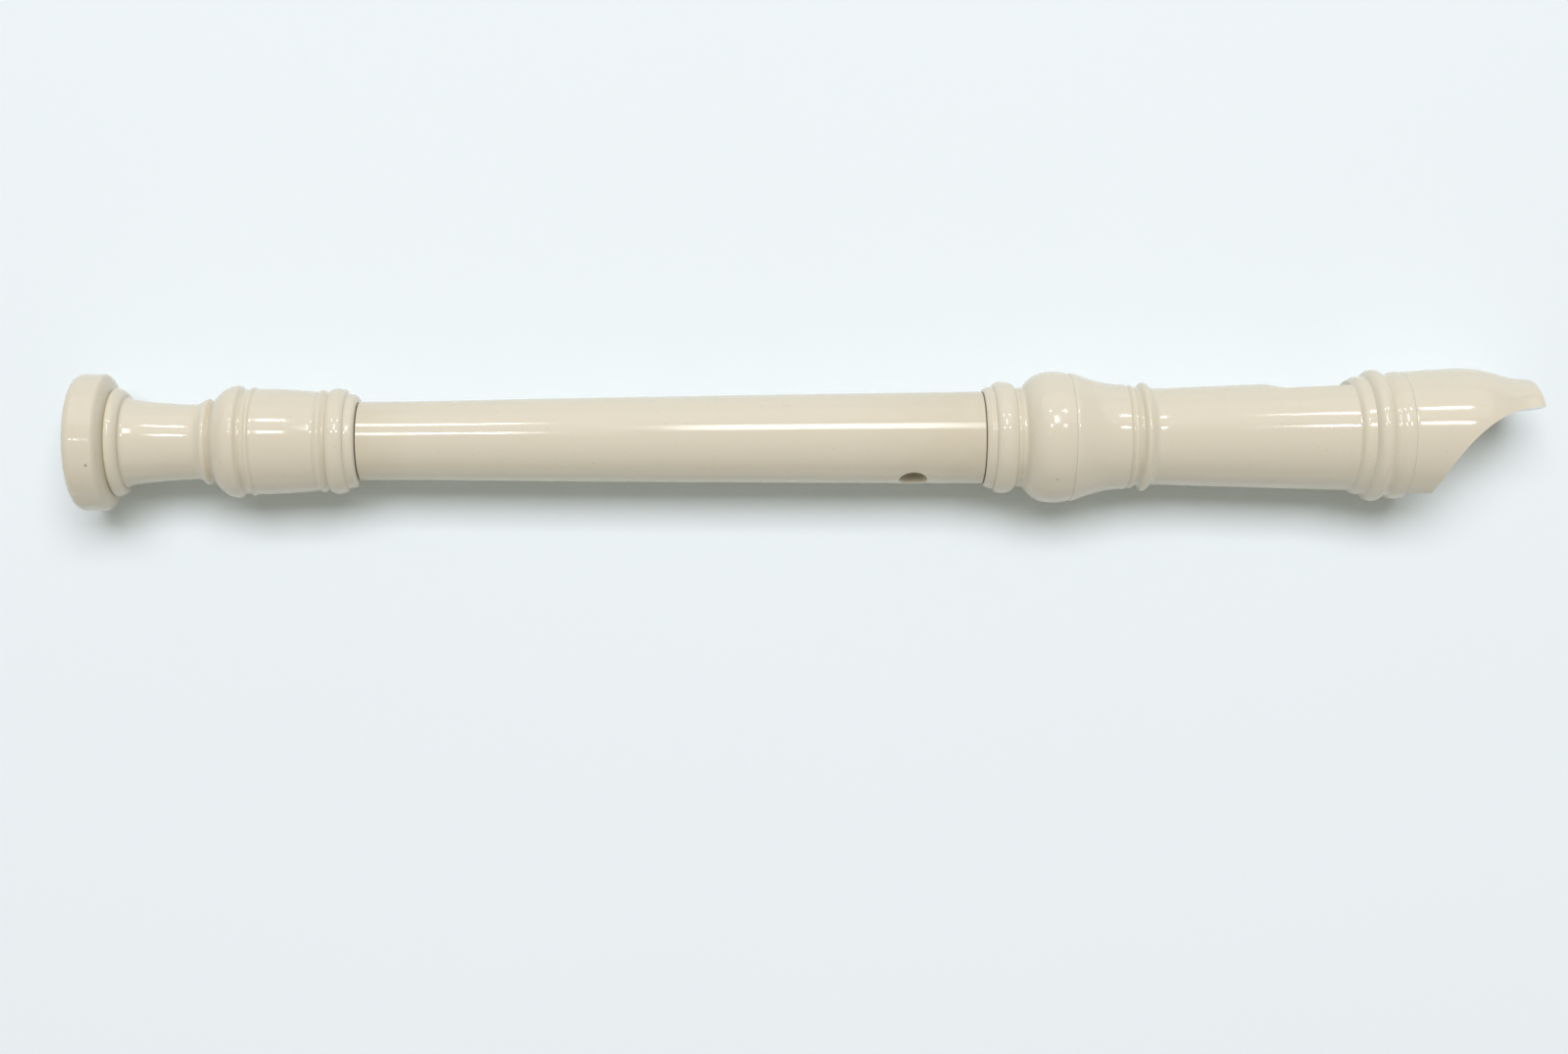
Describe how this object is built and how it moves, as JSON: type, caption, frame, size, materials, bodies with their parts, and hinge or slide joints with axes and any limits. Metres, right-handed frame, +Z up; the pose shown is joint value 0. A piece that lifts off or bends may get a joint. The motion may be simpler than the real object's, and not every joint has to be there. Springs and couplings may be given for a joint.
{
  "type": "soprano recorder",
  "caption": "Soprano recorder in cream gloss plastic, lying on its side, with a pull-off head joint and a turning foot joint.",
  "frame": {"origin": "on the surface that the recorder lies on, under the middle of its bounding box", "axes": "+X along the bore from the foot to the beak, +Y the side that the head's window faces, +Z up"},
  "size_m": [0.33, 0.0306, 0.0306],
  "materials": {
    "shell_plastic": "gloss",
    "block_plastic": "satin"
  },
  "bodies": {
    "middle_joint": {"middle_tube": "shell_plastic"},
    "head_joint": {"head_socket": "shell_plastic", "head_barrel": "shell_plastic", "beak": "shell_plastic", "block": "block_plastic"},
    "foot_joint": {"foot": "shell_plastic"}
  },
  "joints": [
    {"name": "head_pull", "type": "slide", "parent": "middle_joint", "child": "head_joint", "axis": [1, 0, 0], "range_m": [0, 0.025]},
    {"name": "foot_turn", "type": "hinge", "parent": "middle_joint", "child": "foot_joint", "pos_m": [-0.11, 0, 0.01529], "axis": [1, 0, 0], "continuous": true}
  ]
}
